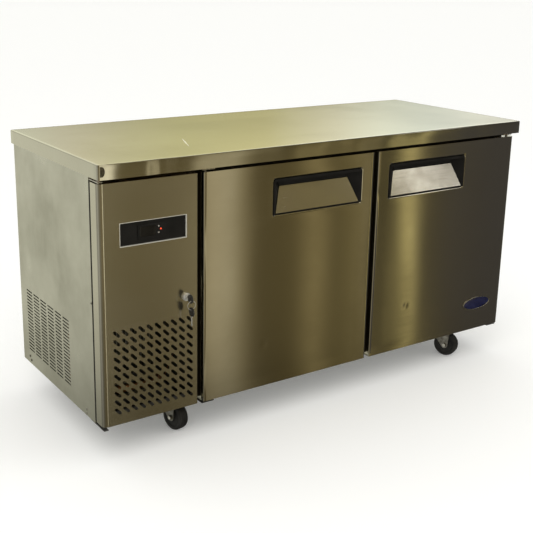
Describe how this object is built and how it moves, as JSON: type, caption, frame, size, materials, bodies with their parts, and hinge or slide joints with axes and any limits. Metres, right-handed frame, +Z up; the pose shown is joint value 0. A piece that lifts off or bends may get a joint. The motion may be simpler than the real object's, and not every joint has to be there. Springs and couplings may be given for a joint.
{
  "type": "undercounter refrigerator",
  "caption": "Low stainless counter refrigerator on castors: insulated hinged doors with recessed pull handles beside a slotted, lockable machine cover with a digital controller.",
  "frame": {"origin": "on the floor, under the middle of the object's box", "axes": "+X to the user's right along the width, the doors face -Y, +Z up"},
  "size_m": [1.5, 0.65, 0.81],
  "materials": {
    "stainless": "vertical brushed stainless sheet, warm tint",
    "stainless_side": "brushed stainless sheet, paler",
    "galvanised": "galvanised sheet, dull",
    "zinc": "bright zinc plate",
    "black_plastic": "moulded black plastic, satin",
    "black_rubber": "black rubber, matte",
    "white_plastic": "white plastic, satin",
    "foam": "rigid cream foam, matte",
    "worktop_board": "chipboard, matte",
    "liner_aluminium": "stucco sheet, satin",
    "fins": "thin fins, satin",
    "black_steel": "black enamel, satin",
    "coated_wire": "grey epoxy on wire, satin",
    "display_black": "black plastic, gloss",
    "key_black": "black plastic grip with a plated steel blade",
    "badge_blue": "dark blue enamel, gloss"
  },
  "bodies": {
    "cabinet": {"worktop": "stainless", "worktop_board": "worktop_board", "left_side_panel": "stainless_side", "right_side_panel": "stainless_side", "back_panel": "galvanised", "base_pan": "galvanised", "partition_panel": "galvanised", "cable_gland": "black_plastic", "insulation": "foam", "inner_liner": "liner_aluminium", "front_frame": "black_plastic", "centre_mullion": "black_plastic", "shelf_left": "coated_wire", "shelf_right": "coated_wire", "evaporator_cover": "white_plastic", "evaporator_coil": "fins", "machine_tray": "galvanised", "condenser_coil": "fins", "fan_shroud": "black_steel", "condenser_fan_motor": "black_steel", "compressor": "black_steel", "left_door_top_hinge": "zinc", "left_door_bottom_hinge": "black_steel", "right_door_top_hinge": "zinc", "right_door_bottom_hinge": "black_steel", "cover_top_hinge": "zinc", "cover_bottom_hinge": "black_steel"},
    "left_door": {"left_door_skin": "stainless", "left_door_foam": "foam", "left_door_liner": "white_plastic", "left_door_gasket": "black_rubber", "left_door_handle": "black_plastic", "left_door_grip_plate": "stainless"},
    "right_door": {"right_door_skin": "stainless", "right_door_foam": "foam", "right_door_liner": "white_plastic", "right_door_gasket": "black_rubber", "right_door_handle": "black_plastic", "right_door_grip_plate": "stainless", "badge": "badge_blue"},
    "cover": {"machine_cover": "stainless", "control_fascia": "display_black", "controller": "display_black", "lock_barrel": "zinc"},
    "up_button": {"button_up": "white_plastic"},
    "down_button": {"button_down": "white_plastic"},
    "plug": {"lock_plug": "zinc"},
    "lock_key": {"key": "key_black"},
    "ring": {"key_ring": "zinc", "spare_key": "key_black"},
    "condenser_blades": {"condenser_fan": "black_plastic"},
    "evaporator_blades": {"evaporator_fan": "black_plastic"},
    "front_left_swivel_body": {"front_left_fork": "zinc"},
    "front_left_wheel_body": {"front_left_wheel": "black_rubber"},
    "front_right_swivel_body": {"front_right_fork": "zinc"},
    "front_right_wheel_body": {"front_right_wheel": "black_rubber"},
    "rear_left_swivel_body": {"rear_left_fork": "zinc"},
    "rear_left_wheel_body": {"rear_left_wheel": "black_rubber"},
    "rear_right_swivel_body": {"rear_right_fork": "zinc"},
    "rear_right_wheel_body": {"rear_right_wheel": "black_rubber"}
  },
  "joints": [
    {"name": "cover_swing", "type": "hinge", "parent": "cabinet", "child": "cover", "pos_m": [-0.738, -0.272, 0.4325], "axis": [0, 0, -1], "range_deg": [0, 100]},
    {"name": "left_door_swing", "type": "hinge", "parent": "cabinet", "child": "left_door", "pos_m": [-0.428, -0.2625, 0.4325], "axis": [0, 0, -1], "range_deg": [0, 110]},
    {"name": "right_door_swing", "type": "hinge", "parent": "cabinet", "child": "right_door", "pos_m": [0.73, -0.2625, 0.4325], "axis": [0, 0, 1], "range_deg": [0, 110]},
    {"name": "lock_turn", "type": "hinge", "parent": "cover", "child": "plug", "pos_m": [-0.498, -0.2905, 0.427], "axis": [0, 1, 0], "range_deg": [0, 90]},
    {"name": "key_pull", "type": "slide", "parent": "plug", "child": "lock_key", "axis": [0, -1, 0], "range_m": [0, 0.026]},
    {"name": "ring_swing", "type": "hinge", "parent": "lock_key", "child": "ring", "pos_m": [-0.498, -0.3125, 0.4225], "axis": [1, 0, 0], "range_deg": [-60, 18]},
    {"name": "up_button_press", "type": "slide", "parent": "cover", "child": "up_button", "axis": [0, 1, 0], "range_m": [0, 0.001], "stiffness_N_per_m": 400, "springref_m": -0.001},
    {"name": "down_button_press", "type": "slide", "parent": "cover", "child": "down_button", "axis": [0, 1, 0], "range_m": [0, 0.001], "stiffness_N_per_m": 400, "springref_m": -0.001},
    {"name": "condenser_fan_spin", "type": "hinge", "parent": "cabinet", "child": "condenser_blades", "pos_m": [-0.6, 0.012, 0.26], "axis": [0, 1, 0], "continuous": true},
    {"name": "evaporator_fan_spin", "type": "hinge", "parent": "cabinet", "child": "evaporator_blades", "pos_m": [-0.318, 0.0475, 0.56], "axis": [1, 0, 0], "continuous": true},
    {"name": "front_left_swivel", "type": "hinge", "parent": "cabinet", "child": "front_left_swivel_body", "pos_m": [-0.49, -0.164, 0.088], "axis": [0, 0, 1], "continuous": true},
    {"name": "front_left_roll", "type": "hinge", "parent": "front_left_swivel_body", "child": "front_left_wheel_body", "pos_m": [-0.48335, -0.1953, 0.04], "axis": [0.9781, 0.2079, 0], "continuous": true},
    {"name": "front_right_swivel", "type": "hinge", "parent": "cabinet", "child": "front_right_swivel_body", "pos_m": [0.561, -0.184, 0.088], "axis": [0, 0, 1], "continuous": true},
    {"name": "front_right_roll", "type": "hinge", "parent": "front_right_swivel_body", "child": "front_right_wheel_body", "pos_m": [0.57402, -0.21323, 0.04], "axis": [0.9135, 0.4067, 0], "continuous": true},
    {"name": "rear_left_swivel", "type": "hinge", "parent": "cabinet", "child": "rear_left_swivel_body", "pos_m": [-0.49, 0.215, 0.088], "axis": [0, 0, 1], "continuous": true},
    {"name": "rear_left_roll", "type": "hinge", "parent": "rear_left_swivel_body", "child": "rear_left_wheel_body", "pos_m": [-0.48666, 0.18318, 0.04], "axis": [0.9945, 0.1045, 0], "continuous": true},
    {"name": "rear_right_swivel", "type": "hinge", "parent": "cabinet", "child": "rear_right_swivel_body", "pos_m": [0.561, 0.215, 0.088], "axis": [0, 0, 1], "continuous": true},
    {"name": "rear_right_roll", "type": "hinge", "parent": "rear_right_swivel_body", "child": "rear_right_wheel_body", "pos_m": [0.55599, 0.18339, 0.04], "axis": [0.9877, -0.1564, 0], "continuous": true}
  ]
}
